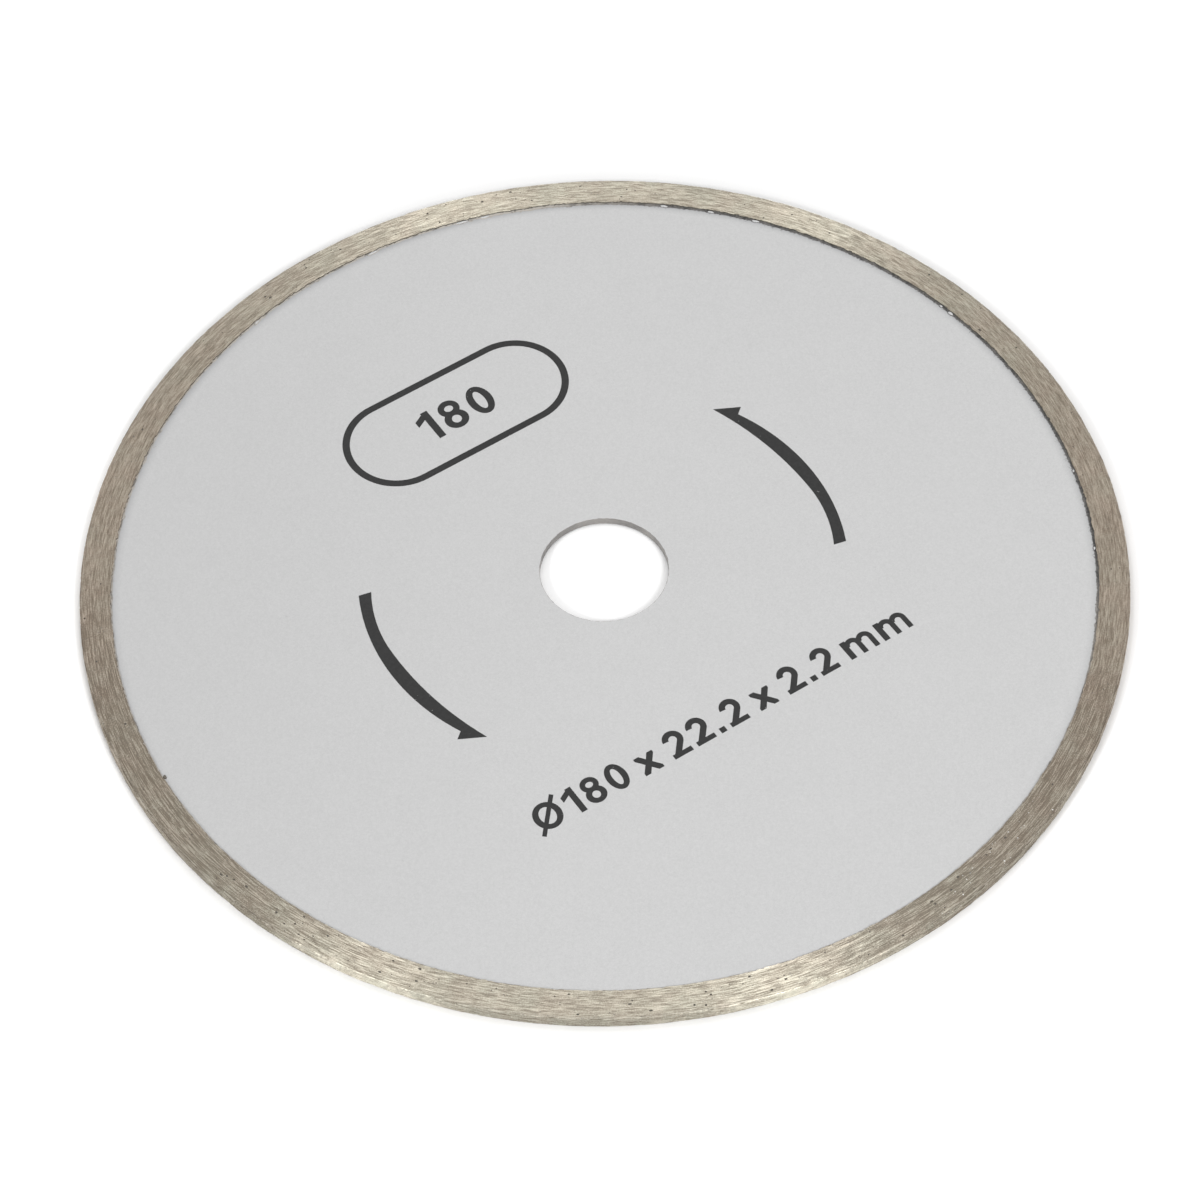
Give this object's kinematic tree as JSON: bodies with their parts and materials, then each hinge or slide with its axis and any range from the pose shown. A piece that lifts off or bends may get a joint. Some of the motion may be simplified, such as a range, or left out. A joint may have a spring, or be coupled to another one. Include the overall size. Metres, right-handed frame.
{
  "type": "diamond blade",
  "caption": "Flat circular saw blade with an unbroken diamond rim round a thin painted steel disc, a round centre bore and printed direction arrows.",
  "frame": {"origin": "on the bore's axis, half-way through the steel core", "axes": "+Z along the bore's axis, out of the printed face; +X along the printed size line in reading direction"},
  "size_m": [0.18, 0.18, 0.0022],
  "materials": {
    "core_steel": "satin",
    "rim_bond": "satin",
    "diamond": "gloss",
    "grey_paint": "matte",
    "print_ink": "matte"
  },
  "bodies": {
    "root": {"steel_core": "core_steel", "diamond_rim": "rim_bond", "diamond_grit": "diamond", "front_paint": "grey_paint", "back_paint": "grey_paint", "rotation_arrows": "print_ink", "size_marking": "print_ink", "number_badge": "print_ink"}
  },
  "joints": []
}
